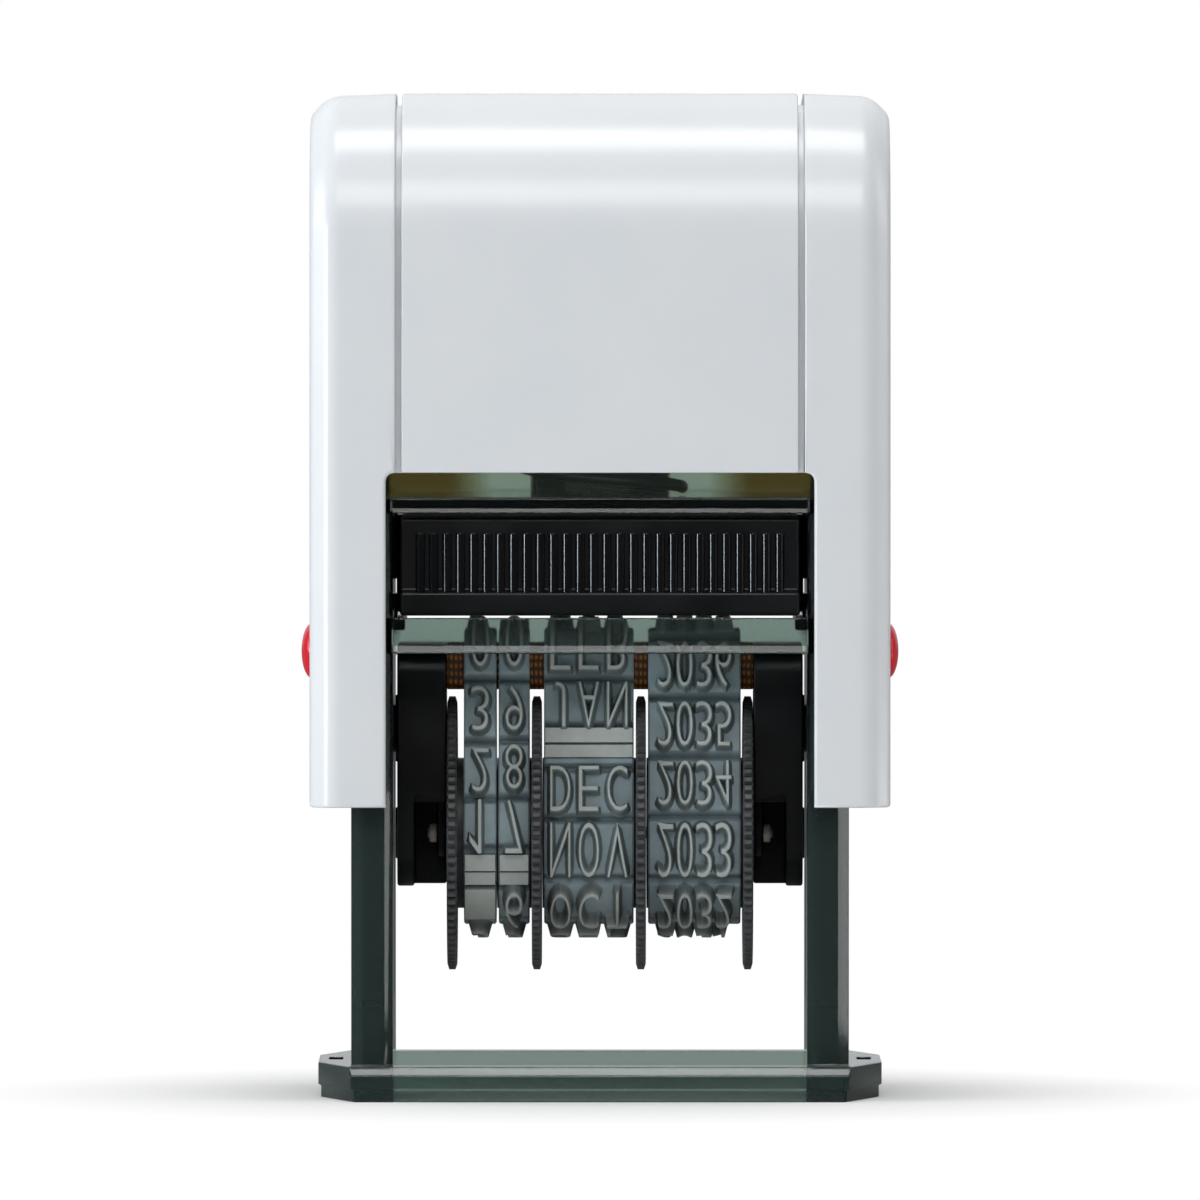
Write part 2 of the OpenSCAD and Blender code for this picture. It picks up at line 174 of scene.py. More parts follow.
# %% [markdown]
# ## Smoky clear styrene
# The frame is moulded in grey-green clear styrene. Thin walls look pale, thick legs look nearly
# black: that comes from the depth of plastic that light crosses, not from a surface colour. So
# the surface is clear and the tint is in the volume. Density and colour are set straight on the
# absorption node. A fine noise in the roughness and a trace of haze give the moulding mist, and
# spring oil has yellowed the low walls above the roof towards their ends.

# %% Finish: smoky clear styrene
OIL_X, ROOF_Z, HAZE_Z = (9.5 * MM, 13 * MM), (52.4 * MM, 52.7 * MM), (20 * MM, 36 * MM)
smoky, where = new_finish("smoky_clear_styrene")
mist = noise(where, 0.7, 3.0)
spot = add(where, "SeparateXYZ", {"Vector": where}).outputs
outer_end = remap(reckon("ABSOLUTE", spot["X"]), *OIL_X)
above_roof = remap(spot["Z"], *ROOF_Z)
oil = tint(outer_end, "#E3EEE3", "#AEA274")
skin = add(where, "BsdfPrincipled", {
    "Base Color": tint(above_roof, "#F4FFFB", oil), "IOR": 1.49,
    "Roughness": remap(mist, 0.3, 0.7, 0.03, 0.09), "Transmission Weight": 1.0})
held = remap(spot["Z"], *HAZE_Z, 0.045, 0.006)
haze = add(where, "BsdfDiffuse", {"Color": linear("#B5DFD6")})
smoke = add(where, "VolumeAbsorption", {"Color": linear("#9FABA6"), "Density": 890.0})
add(where, "OutputMaterial", {"Surface": layer(held, skin, haze), "Volume": smoke})

# %% [markdown]
# ## Black ABS in three states
# The drawer, the carrier plates and the thumb wheels are black ABS from a spark-eroded tool,
# which leaves a fine even grain. The true grain is about 0.05 mm; it is drawn at 0.22 mm so that
# it still shows in the picture. Fingers have polished the drawer's ribs, and dust and dried ink
# have greyed the thumb wheels, so one loop makes the same plastic satin, rubbed and dusty.

# %% Finishes: satin, rubbed and dusty black ABS
blacks = {}
for name, dark, light, patch, rough in (
    ("satin_black_abs", "#0B0C0E", "#131518", 5, (0.30, 0.42)),
    ("rubbed_black_abs", "#0B0C0E", "#131518", 5, (0.10, 0.16)),
    ("dusty_black_abs", "#303132", "#666768", 1, (0.35, 0.55)),
):
    blacks[name], where = new_finish(name)
    grain, rub = noise(where, 0.22, 2.0), noise(where, patch, 3.0)
    coat(tint(rub, dark, light), remap(rub, 0.3, 0.7, *rough),
         IOR=ABS_IOR, Normal=bump(grain, 0.12, 0.04))
black_abs, rubbed_abs, dusty_abs = blacks.values()

# %% [markdown]
# ## Band rubber
# The date bands are cast in grey-blue rubber with the characters standing up from them. The
# raised faces are rubbed lighter, and old ink has browned the characters near the bottom of the
# loop. Shade is painted on as well: on the flanks of the characters, with some dirt in it, and in
# the grooves between places. The pieces carry an attribute named raise, 0 on the floor, below 0 in
# a groove and 1 on a character's face, so the finish can tell them apart.

# %% Finish: band rubber
RAISE, INK_Z = "raise", (16 * MM, 19 * MM)
rubber, where = new_finish("grey_blue_rubber")
up = add(where, "Attribute", attribute_name=RAISE).outputs["Fac"]
dust, grain = noise(where, 0.8, 5.0), noise(where, 0.18, 3.0)
floor_tone = tint(dust, "#8A9EA4", "#A4B6BB")
face_tone = tint(dust, "#ADB5B1", "#C3CAC5")
tone = tint(remap(up, 0.75, 1.0), floor_tone, face_tone)
# The characters' flanks, darkest halfway up, are mixed towards dark brown: painted shade, with some
# dirt in it.
flank = reckon("MULTIPLY", reckon("SUBTRACT", 1.0, up), up)
flank_shade_and_dirt = tint(reckon("MULTIPLY", flank, 2.4, clamp=True), tone, "#55503F")
height = add(where, "SeparateXYZ", {"Vector": where}).outputs["Z"]
low = remap(height, *INK_Z, 0.4, 0.0)
stained = tint(reckon("MULTIPLY", low, dust), flank_shade_and_dirt, "#5B4030")
# Painted shade: where raise falls below 0, in the grooves between places, the colour is mixed
# towards near black.
groove_shaded = tint(remap(up, -0.5, 0.0, 0.6, 0.0), stained, "#1E2426")
coat(groove_shaded, 0.55, IOR=1.52, Normal=bump(grain, 0.25, 0.05))

# %% [markdown]
# ## Red ABS, metals and felt
# The lock buttons are the same polished ABS as the cap, in red. The axle and its clips are steel
# with dull nickel on it and faint scratches along their length, and the spring is a darker tempered
# wire. The ink pad is felt soaked with violet-black ink: short fibres at about 0.3 mm, no gloss.

# %% Finishes: red ABS, dull nickel, spring wire, inked felt
red_abs, where = new_finish("gloss_red_abs")
flow = noise(where, 1.5, 2.0)
coat(tint(flow, "#D8152A", "#EC2436"), 0.2, IOR=ABS_IOR)

metals = {}
for name, dark, light, rough, metallic in (
    ("dull_nickel_steel", "#D2CBBB", "#F2EBDA", (0.35, 0.5), 0.35),
    ("tempered_spring_wire", "#5E6468", "#7D8387", (0.28, 0.42), 1.0),
):
    metals[name], where = new_finish(name)
    along = add(where, "Mapping", {"Vector": where, "Scale": (0.06, 1.0, 1.0)})
    lines = noise(along, 0.12, 2.0)
    coat(tint(lines, dark, light), remap(lines, 0.0, 1.0, *rough),
         Metallic=metallic)
nickel, spring_wire = metals.values()

felt, where = new_finish("inked_wool_felt")
fibre, soak = noise(where, 0.3, 4.0, 1.5), noise(where, 6, 2.0)
coat(tint(soak, "#17141F", "#2B2540"), 0.95, Sheen_Weight=0.3,
     Normal=bump(fibre, 0.8, 0.15))

# %% [markdown]
# ## Woven laminate
# The bar under the printing line is canvas soaked in brown resin and pressed hard. Between the
# bands it shows as amber brown with a crossing weave of 0.4 by 0.7 mm, so two wave textures at
# right angles are multiplied and set over a warm noise.

# %% Finish: canvas laminate
laminate, where = new_finish("brown_canvas_laminate")
threads = [
    add(where, "TexWave", {
        "Vector": where, "Scale": per_mm(pitch) / math.pi, "Distortion": 2.6, "Detail": 2.0},
        bands_direction=direction).outputs["Fac"]
    for direction, pitch in (("X", 0.42), ("Z", 0.7))
]
weave = reckon("MULTIPLY", *threads)
resin = tint(noise(where, 2.2, 4.0), "#3A240A", "#7A4C16")
coat(tint(weave, resin, "#E08A2C"), 0.5, IOR=1.55, Normal=bump(weave, 0.4, 0.08))

# %% [markdown]
# ## Helpers for pieces
# Points are worked out in millimetres and stored in metres. Hard-edged pieces get a Bevel, since
# no moulded edge is perfectly sharp and a fine rounding is what catches the light, and then a
# Weighted Normal, which keeps the large faces flat in the light. All modifiers are applied at
# once, so what is left is a plain mesh that rides on its body.

# %% Piece helpers
def box_mm(node):
    """The low and the high corner of a solid in millimetres."""
    return [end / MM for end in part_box(node)]


def linked(name, data):
    """A new object in the scene."""
    obj = bpy.data.objects.new(name, data)
    scene.collection.objects.link(obj)
    return obj


def rework(mesh, change):
    """Opens a mesh, changes it and writes it back."""
    bm = bmesh.new()
    bm.from_mesh(mesh)
    change(bm)
    bm.to_mesh(mesh)
    bm.free()
    return mesh


def plain_mesh(name, points, faces):
    """A mesh from points in millimetres."""
    mesh = bpy.data.meshes.new(name)
    mesh.from_pydata([[c * MM for c in p] for p in points], [], faces)
    return mesh


def new_piece(name, points, faces):
    """A mesh object with its doubles merged and its faces turned outwards."""
    def clean(bm):
        bmesh.ops.remove_doubles(bm, verts=bm.verts, dist=1e-7)
        bmesh.ops.dissolve_degenerate(bm, edges=bm.edges, dist=1e-7)
        bmesh.ops.recalc_face_normals(bm, faces=bm.faces)

    return linked(name, rework(plain_mesh(name, points, faces), clean))


def cad_copy(name, node):
    """A merged copy of a solid, with pairs of triangles joined into quads."""
    def merge(bm):
        bmesh.ops.remove_doubles(bm, verts=bm.verts, dist=1e-6)
        bmesh.ops.join_triangles(
            bm, faces=bm.faces, angle_face_threshold=math.radians(0.5),
            angle_shape_threshold=math.pi)

    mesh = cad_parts[node].data.copy()
    mesh.materials.clear()
    rework(mesh, merge)
    if "custom_normal" in mesh.attributes:
        mesh.attributes.remove(mesh.attributes["custom_normal"])
    return linked(name, mesh)


def soften(obj, width, angle=35, segments=2, weights=False):
    """Rounds the sharp edges, or those with weights, by a width in millimetres."""
    bevel = obj.modifiers.new("rounded edges", "BEVEL")
    bevel.width = width * MM
    bevel.segments = segments
    bevel.limit_method = "WEIGHT" if weights else "ANGLE"
    bevel.angle_limit = math.radians(angle)
    bevel.use_clamp_overlap = False
    bevel.miter_outer = "MITER_ARC"


def combine(obj, added, taken):
    """Boolean steps that join one shape to a piece and take another away."""
    for tool, operation in ((added, "UNION"), (taken, "DIFFERENCE")):
        step = obj.modifiers.new(operation.lower(), "BOOLEAN")
        step.object, step.operation, step.solver = tool, operation, "EXACT"


def applied(obj):
    """Applies the modifiers and removes the shapes that Booleans used."""
    tools = [m.object for m in obj.modifiers if m.type == "BOOLEAN"]
    view = bpy.context.evaluated_depsgraph_get()
    mesh = bpy.data.meshes.new_from_object(obj.evaluated_get(view))
    mesh.name = obj.name
    obj.modifiers.clear()
    obj.data = mesh
    for tool in tools:
        bpy.data.objects.remove(tool)
    return obj


def settle(obj, sharp=40, crisp=(0, 0)):
    """Applies the modifiers and shades smooth up to an angle, or outside a crisp span of angles."""
    def crease(bm):
        for edge in bm.edges:
            if len(edge.link_faces) == 2:
                if crisp[0] < math.degrees(edge.calc_face_angle()) < crisp[1]:
                    edge.smooth = False

    mesh = applied(obj).data
    mesh.shade_smooth()
    mesh.set_sharp_from_angle(angle=math.radians(sharp))
    rework(mesh, crease)
    obj.modifiers.new("even light", "WEIGHTED_NORMAL").keep_sharp = True
    return applied(obj)


def mount(obj, finish, slot, body, *nodes):
    """Gives a finished piece its finish, its body and the solids that it stands for."""
    obj.data.materials.clear()
    obj.data.materials.append(finish)
    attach(obj, body)
    if nodes:
        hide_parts(*nodes)
    print("piece:", obj.name, "faces:", len(obj.data.polygons))
    return obj


print("helpers ready")

# %% Turned shapes
def turned(name, profile, height, steps=48, side=1):
    """A piece turned about a line along X at a height, from (x, radius) points; side -1 mirrors."""
    points, faces, rings = [], [], []
    for x, r in profile:
        if r == 0:
            rings.append([len(points)] * steps)
            points.append((side * x, 0, height))
            continue
        rings.append([len(points) + i for i in range(steps)])
        for i in range(steps):
            a = 2 * math.pi * i / steps
            points.append((side * x, r * math.cos(a), height + r * math.sin(a)))
    closed = profile[0][1] > 0
    pairs = list(zip(rings, rings[1:])) + ([(rings[-1], rings[0])] if closed else [])
    for a, b in pairs:
        for i in range(steps):
            j = (i + 1) % steps
            face = list(dict.fromkeys([a[i], a[j], b[j], b[i]]))
            if len(face) > 2:
                faces.append(face)
    return new_piece(name, points, faces)


def chamfered(x0, x1, r, cut, bore=0):
    """The profile of a rod or ring with its outer corners cut."""
    return [(x0, bore), (x0, r - cut), (x0 + cut, r), (x1 - cut, r), (x1, r - cut), (x1, bore)]


def joined(name, parts):
    """Several pieces made into one."""
    points, faces = [], []
    for part in parts:
        faces += [[i + len(points) for i in p.vertices] for p in part.data.polygons]
        points += [v.co / MM for v in part.data.vertices]
        bpy.data.objects.remove(part)
    return new_piece(name, points, faces)


print("turning ready")

# %% [markdown]
# ## The cap's shape
# Seen from the side the cap is an arch: straight walls, a 12 mm round at the front and rear, and
# a flat top. Seen along that arch, its section is always the same: a sunk middle for the cover,
# two flat shoulders, and chamfers with soft ends at the cheeks. One grid of points, rows along the
# arch and columns across, gives clean faces for the light, so the outer skin and the inner skin
# are both made from it, and left open where the windows are.

# %% Rows along the cap's arch
low, high = box_mm("cap_shell")
cap_low, (cap_half, cap_depth, cap_top) = low.z, high
low, high = box_mm("centre_cover")
cover_half, window_top = high.x, low.z
TOP_ROUND, ARC_STEPS = 12, 20
UPPER_ROWS = (62, 70)


def arch_rows(heights):
    """Places on the arch from front to rear: y, z, the way out and how far the skin draws in."""
    round_y, round_z = cap_depth - TOP_ROUND, cap_top - TOP_ROUND
    front = [(-cap_depth, z, -1, 0, drawn) for z, drawn in heights]
    for i in range(ARC_STEPS + 1):
        a = math.radians(90 * i / ARC_STEPS)
        out_y, out_z = -math.cos(a), math.sin(a)
        front.append((-round_y + TOP_ROUND * out_y, round_z + TOP_ROUND * out_z, out_y, out_z, 0))
    return front + [(-y, z, -out_y, out_z, drawn) for y, z, out_y, out_z, drawn in reversed(front)]


def on_arch(x, row, depth):
    """A point across the arch at a depth below its outer line."""
    y, z, out_y, out_z, drawn = row
    return (x, y - depth * out_y, z - depth * out_z)


def corner(p):
    """The number of a point, the same for points that coincide."""
    key = tuple(round(c, 5) for c in p)
    if key not in index:
        index[key] = len(points)
        points.append(p)
    return index[key]


def quad(grid, r, c):
    """The face of a grid between two rows and two columns."""
    return (grid[r][c], grid[r][c + 1], grid[r + 1][c + 1], grid[r + 1][c])


print("rows on the arch:", len(arch_rows([(cap_low, 0), (window_top, 0)])))

# %% [markdown]
# ## Cap shell
# The skin is closed along the bottom and round both windows. It draws in a little at the bottom,
# so that edge is round from the start; for the others, bevel weights say how soft each one is:
# the window corners most, then the window's rim, then the lips of the grooves. The pivot bosses
# inside are added with a Boolean, and the holes for the pins and the buttons are cut with another.

# %% Rows and section of the cap's skin
GROOVE, COVER_T = 0.55, 1.0
WALL, EDGE = 2.0, 1.65
SHOULDER_DROP, SHOULDER_X = 0.25, 21
WINDOW_HALF, WINDOW_ROWS = 18.65, (32, 40, 48)
FRONT_FILLET, SIDE_FILLET, FILLET_STEPS = 1.1, 0.6, 6
LIP, LIP_ROWS = 0.25, 2
groove_out = cover_half + GROOVE
flat_half, inner_half = cap_half - EDGE, cap_half - WALL

lip_turns = [math.radians(90 * i / LIP_ROWS) for i in range(LIP_ROWS + 1)]
lip_rows = [(cap_low + LIP * (1 - math.cos(a)), LIP * (1 - math.sin(a))) for a in lip_turns]
rows = arch_rows(lip_rows + [(z, 0) for z in (*WINDOW_ROWS, window_top, *UPPER_ROWS)])
window_rows = len(lip_rows) + len(WINDOW_ROWS)


def fillet(*bend):
    """Points of a curve from a first point to a third, bent towards the second."""
    shares = [i / FILLET_STEPS for i in range(FILLET_STEPS + 1)]
    return [
        tuple((1 - t) ** 2 * a + 2 * t * (1 - t) * b + t ** 2 * c for a, b, c in zip(*bend))
        for t in shares
    ]


section = [(groove_out, COVER_T), (groove_out, 0), (WINDOW_HALF, 0), (SHOULDER_X, 0)]
front_cut, side_cut = (r * math.sqrt(0.5) for r in (FRONT_FILLET, SIDE_FILLET))
section += fillet(
    (flat_half - FRONT_FILLET, 0), (flat_half, 0), (flat_half + front_cut, front_cut))
section += fillet(
    (cap_half - side_cut, EDGE - side_cut), (cap_half, EDGE), (cap_half, EDGE + SIDE_FILLET))
section = [(-x, d) for x, d in reversed(section)] + section
window_cols = [i for i, (x, d) in enumerate(section) if abs(abs(x) - WINDOW_HALF) < 1e-6]
print("rows:", len(rows), "columns:", len(section))

# %% Build the cap's skin
def outer_point(x, d, row):
    """A point of the outer skin: shoulders fall on top, and all draws in at the bottom edge."""
    drawn = row[4]
    shoulder = max(0, min(1, (abs(x) - cover_half) / (flat_half - cover_half)))
    sideways = max(0, (abs(x) - flat_half) / EDGE)
    depth = d + shoulder * SHOULDER_DROP * row[3] + drawn * (1 - min(1, d / EDGE))
    return on_arch(x - math.copysign(drawn * sideways, x), row, depth)


def inner_point(x, row):
    """A point of the inner skin, held between the cheeks."""
    return on_arch(max(-inner_half, min(inner_half, x)), row, WALL)


points, index = [], {}
outer = [[corner(outer_point(x, d, row)) for x, d in section] for row in rows]
inner = [[corner(inner_point(x, row)) for x, d in section] for row in rows]
last_row, last_col = len(rows) - 1, len(section) - 1
left_edge, right_edge = window_cols


def open_here(r, c):
    """Whether a place in the grid is in a window."""
    in_window = left_edge <= c < right_edge
    return in_window and (r < window_rows or r >= last_row - window_rows)


faces = [
    quad(grid, r, c) for grid in (outer, inner)
    for r in range(last_row) for c in range(last_col) if not open_here(r, c)]
for c in (0, last_col):
    faces.append([inner[r][c] for r in range(last_row + 1)])
    faces.append([outer[r][c] for r in range(LIP_ROWS, last_row - LIP_ROWS + 1)])
    for r in range(LIP_ROWS):
        s = last_row - r
        faces.append((outer[r][c], outer[r + 1][c], outer[s - 1][c], outer[s][c]))
edges = []
for r in (window_rows, last_row - window_rows):
    edges += [((r, c), (r, c + 1)) for c in range(left_edge, right_edge)]
for r in list(range(window_rows)) + list(range(last_row - window_rows, last_row)):
    edges += [((r, c), (r + 1, c)) for c in window_cols]
for r in (0, last_row):
    edges += [((r, c), (r, c + 1)) for c in range(last_col) if not left_edge <= c < right_edge]
edges += [((0, c), (last_row, c)) for c in (0, last_col)]
for (r, c), (s, d) in edges:
    faces.append((outer[r][c], outer[s][d], inner[s][d], inner[r][c]))
faces = [f for f in (list(dict.fromkeys(f)) for f in faces) if len(f) > 2]
cap = new_piece("cap_shell_white", points, faces)
print("cap skin points:", len(points))

# %% Soften its edges
SOFT, CORNER_SOFT, RIM_SOFT, GROOVE_SOFT = 0.7, 1.0, 0.45, 0.22
NEAR = 0.01


def on_rim(p):
    """Whether a point is on the top edge of a window."""
    return abs(p.z - window_top) < NEAR and abs(p.x) < WINDOW_HALF + NEAR


def on_jamb(p):
    """Whether a point is on a side edge of a window."""
    beside = abs(abs(p.x) - WINDOW_HALF) < NEAR
    return beside and cap_low + LIP - NEAR < p.z < window_top + NEAR


def softness(a, b):
    """How soft the edge between two points of the cap is, as a share of SOFT."""
    outside = min(abs(a.y), abs(b.y)) > cap_depth - COVER_T - NEAR
    along_y = abs(a.x - b.x) < NEAR and abs(a.z - b.z) < NEAR
    if along_y:
        return CORNER_SOFT if on_rim(a) and on_jamb(a) else 0.0
    if outside and ((on_rim(a) and on_rim(b)) or (on_jamb(a) and on_jamb(b))):
        return RIM_SOFT
    lip = all(abs(abs(p.x) - groove_out) < NEAR for p in (a, b)) and abs(a.x - b.x) < NEAR
    return GROOVE_SOFT if lip and max(a.z, b.z) > window_top + NEAR else 0.0


soft = cap.data.attributes.new("bevel_weight_edge", "FLOAT", "EDGE")
verts = [v.co / MM for v in cap.data.vertices]
for edge, value in zip(cap.data.edges, soft.data):
    value.value = softness(*(verts[i] for i in edge.vertices))
soften(cap, SOFT, weights=True, segments=3)
print("soft edges:", sum(value.value > 0 for value in soft.data))

# %% Add the bosses and cut the holes
SIDES = {"left": -1, "right": 1}
FIT, BUTTON_R = 0.05, 2.5
BOSS_FROM, BOSS_WALL, BOSS_SUNK = 22, 1.1, 0.5
PIN_HOLE_FROM, PIN_HOLE_DEEP, BUTTON_HOLE = 15, 1, (22, 30)
pivot_z, button_z = (
    sum(end.z for end in box_mm(node)) / 2 for node in ("left_pivot_pin", "left_button"))
pin_r = box_mm("left_pivot_pin")[1].y


def rods(name, *spans):
    """Plain rods along X at both sides, from x0 to x1, as one shape."""
    return joined(name, [
        turned("rod", [(x0, 0), (x0, r), (x1, r), (x1, 0)], z, side=side)
        for x0, x1, r, z in spans for side in SIDES.values()])


boss = rods("boss", (BOSS_FROM, inner_half + BOSS_SUNK, pin_r + BOSS_WALL, pivot_z))
bore = rods(
    "bore", (PIN_HOLE_FROM, inner_half + PIN_HOLE_DEEP, pin_r + FIT, pivot_z),
    (*BUTTON_HOLE, BUTTON_R + FIT, button_z))
combine(cap, boss, bore)
mount(settle(cap), white_abs, "white_plastic", "cap", "cap_shell")

# %% [markdown]
# ## Centre cover
# A saddle strip lies in the sunk middle of the cap, with a narrow groove on both sides. It uses
# the same arch, from the window's top at the front to the one at the rear.

# %% Build the centre cover
COVER_SEAT, COVER_INNER = 0.03, 6
rows = arch_rows([(z, 0) for z in (window_top, *UPPER_ROWS)])
cols = (-cover_half, -COVER_INNER, COVER_INNER, cover_half)
points, index = [], {}
upper, lower = (
    [[corner(on_arch(x, row, depth)) for x in cols] for row in rows]
    for depth in (0, COVER_T - COVER_SEAT))
last_row, last_col = len(rows) - 1, len(cols) - 1
faces = [
    quad(grid, r, c) for grid in (upper, lower) for r in range(last_row) for c in range(last_col)]
edges = [((r, c), (r + 1, c)) for r in range(last_row) for c in (0, last_col)]
edges += [((r, c), (r, c + 1)) for r in (0, last_row) for c in range(last_col)]
for (r, c), (s, d) in edges:
    faces.append((upper[r][c], upper[s][d], lower[s][d], lower[r][c]))
cover = new_piece("centre_cover_white", points, faces)
soften(cover, 0.16, angle=50)
mount(settle(cover), white_abs, "white_plastic", "cap", "centre_cover")

# %% [markdown]
# ## Base frame
# The clear frame is one moulding: foot, two slotted legs, crossbars and the walls above. Its
# solid already has the right shape, so a merged copy with softly rounded edges is all it needs;
# the edges matter, because in clear plastic they are what shows. The lips of the roof and the
# crossbars slope by 18 degrees, and their faces are kept crisp so that each catches the light.

# %% Build the base frame
clear_frame = cad_copy("base_frame_smoky", "base_frame")
soften(clear_frame, 0.12, angle=40)
settle(clear_frame, crisp=(16, 20))
mount(clear_frame, smoky, "smoky_clear", "base", "base_frame")

# %% [markdown]
# ## Pad drawer
# The drawer is a black tray that slides in from the front, with a smooth ledge to pull on and a
# row of upright ribs for the finger. The tray is a side view pushed along X, with Booleans for
# the shoulders that meet the stops in the legs and for the pad's pocket. The ribs repeat, so
# Geometry Nodes places one rounded rib along a line.

# %% Build the tray
tray_low, tray_high = box_mm("pad_tray")
LEDGE_H, LEDGE_OUT = 2.1, 0.6
PAD_WALL, PAD_T = 2.0, 3.8
SIDE_OUT, SIDE_FRONT, SIDE_REAR = 0.4, 0.0, 5.0
tray_half = tray_high.x - SIDE_OUT
face_y = tray_low.y + LEDGE_OUT
ledge_z = tray_low.z + LEDGE_H


def pushed(name, outline, half):
    """A side view of y, z points made solid along X, half a width to each side."""
    n = len(outline)
    points = [(x, y, z) for x in (-half, half) for y, z in outline]
    faces = [list(range(n)), list(range(n, 2 * n))]
    faces += [(i, (i + 1) % n, n + (i + 1) % n, n + i) for i in range(n)]
    return new_piece(name, points, faces)


def oblong(y0, y1, z0, z1):
    """The corners of an upright oblong."""
    return [(y0, z0), (y1, z0), (y1, z1), (y0, z1)]


tray = pushed("pad_tray_black", [
    (tray_low.y, tray_low.z), (tray_high.y, tray_low.z), (tray_high.y, tray_high.z),
    (face_y, tray_high.z), (face_y, ledge_z), (tray_low.y, ledge_z)], tray_half)
pocket = pushed("pocket", oblong(
    face_y + PAD_WALL, tray_high.y - PAD_WALL, tray_low.z - 1, tray_low.z + PAD_T),
    tray_half - PAD_WALL)
shoulders = pushed(
    "shoulders", oblong(SIDE_FRONT, SIDE_REAR, tray_low.z, tray_high.z), tray_high.x)
combine(tray, shoulders, pocket)
soften(tray, 0.3, segments=3)
mount(settle(tray), black_abs, "black_plastic", "drawer", "pad_tray")

# %% A node tree that repeats a rib
def new_tree(name, **inputs):
    """A Geometry Nodes tree and the sockets of its named inputs."""
    tree = bpy.data.node_groups.new(name, "GeometryNodeTree")
    for label, kind in {**inputs, "Finish": "Material"}.items():
        tree.interface.new_socket(label, in_out="INPUT", socket_type="NodeSocket" + kind)
    tree.interface.new_socket("Geometry", in_out="OUTPUT", socket_type="NodeSocketGeometry")
    return tree, tree.nodes.new("NodeGroupInput").outputs


def close_tree(tree, given, shape):
    """Makes a shape real, gives it the finish and sends it to the tree's output."""
    solid = add(tree, "RealizeInstances", {"Geometry": shape})
    painted = add(tree, "SetMaterial", {"Geometry": solid, "Material": given["Finish"]})
    add(tree, "NodeGroupOutput", {"Geometry": painted})
    print("tree:", tree.name)


def grow(name, tree, **values):
    """The plain mesh that a tree makes from its named values."""
    obj = linked(name, bpy.data.meshes.new(name))
    modifier = obj.modifiers.new("tree", "NODES")
    modifier.node_group = tree
    for item in tree.interface.items_tree:
        if item.in_out == "INPUT":
            modifier[item.identifier] = values[item.name]
    return applied(obj)


rib_tree, given = new_tree(
    "repeated ribs", Count="Int", Start="Vector", Pitch="Vector", Radius="Float", Length="Float")
line = add(rib_tree, "MeshLine", {
    "Count": given["Count"], "Start Location": given["Start"], "Offset": given["Pitch"]})
rib = add(rib_tree, "MeshCylinder", {
    "Vertices": 16, "Side Segments": 1, "Radius": given["Radius"], "Depth": given["Length"]})
many = add(rib_tree, "InstanceOnPoints", {"Points": line, "Instance": rib})
close_tree(rib_tree, given, many)

# %% Place the ribs on the drawer's face
RIB_PITCH, RIB_R, RIB_COUNT = 1.16, 0.42, 28
RIB_OVER, RIB_UNDER, RIB_OUT = 1.3, 0.2, 0.05
rib_low, rib_top = ledge_z - RIB_UNDER, tray_high.z - RIB_OVER
first_rib = (-(RIB_COUNT - 1) / 2 * RIB_PITCH, face_y - RIB_OUT, (rib_low + rib_top) / 2)
ribs = grow(
    "drawer_ribs", rib_tree, Count=RIB_COUNT, Start=[c * MM for c in first_rib],
    Pitch=(RIB_PITCH * MM, 0, 0), Radius=RIB_R * MM, Length=(rib_top - rib_low) * MM,
    Finish=rubbed_abs)
soften(ribs, 0.1, angle=50)
mount(settle(ribs), rubbed_abs, "black_plastic", "drawer")

# %% [markdown]
# ## Ink pad
# The pad is a felt block pressed into the tray, face down. Its face crowns a little, and its
# sides draw in between the corners. A grid on each face with those two rules makes it, and one
# Subdivision Surface rounds it.

# %% Build the felt pad
pad_low, pad_high = box_mm("ink_pad")
PAD_SPANS = (24, 18, 4)
CROWN, DRAWN_IN = 0.12, 0.25
points, index = [], {}


def felt_point(u, v, w):
    """A point of the pad, u and v across it from 0 to 1, w from its face up to its back."""
    across, along = math.sin(math.pi * u), math.sin(math.pi * v)
    x0, x1 = pad_low.x + DRAWN_IN * along, pad_high.x - DRAWN_IN * along
    y0, y1 = pad_low.y + DRAWN_IN * across, pad_high.y - DRAWN_IN * across
    face = pad_low.z + CROWN * (1 - across ** 0.5 * along ** 0.5) * 2
    return (x0 + u * (x1 - x0), y0 + v * (y1 - y0), face + w * (pad_high.z - face))


def felt_corner(first, second, i, j, side):
    """The number of a grid point on one side of the pad."""
    uvw = [side] * 3
    uvw[first], uvw[second] = i / PAD_SPANS[first], j / PAD_SPANS[second]
    return corner(felt_point(*uvw))


faces = []
for first, second in ((1, 2), (0, 2), (0, 1)):
    for side in (0, 1):
        grid = [
            [felt_corner(first, second, i, j, side) for j in range(PAD_SPANS[second] + 1)]
            for i in range(PAD_SPANS[first] + 1)]
        faces += [
            quad(grid, i, j) for i in range(PAD_SPANS[first]) for j in range(PAD_SPANS[second])]
pad = new_piece("ink_pad_felt", points, faces)
smooth = pad.modifiers.new("rounded", "SUBSURF")
smooth.levels = smooth.render_levels = 1
mount(settle(pad, sharp=70), felt, "felt", "drawer", "ink_pad")
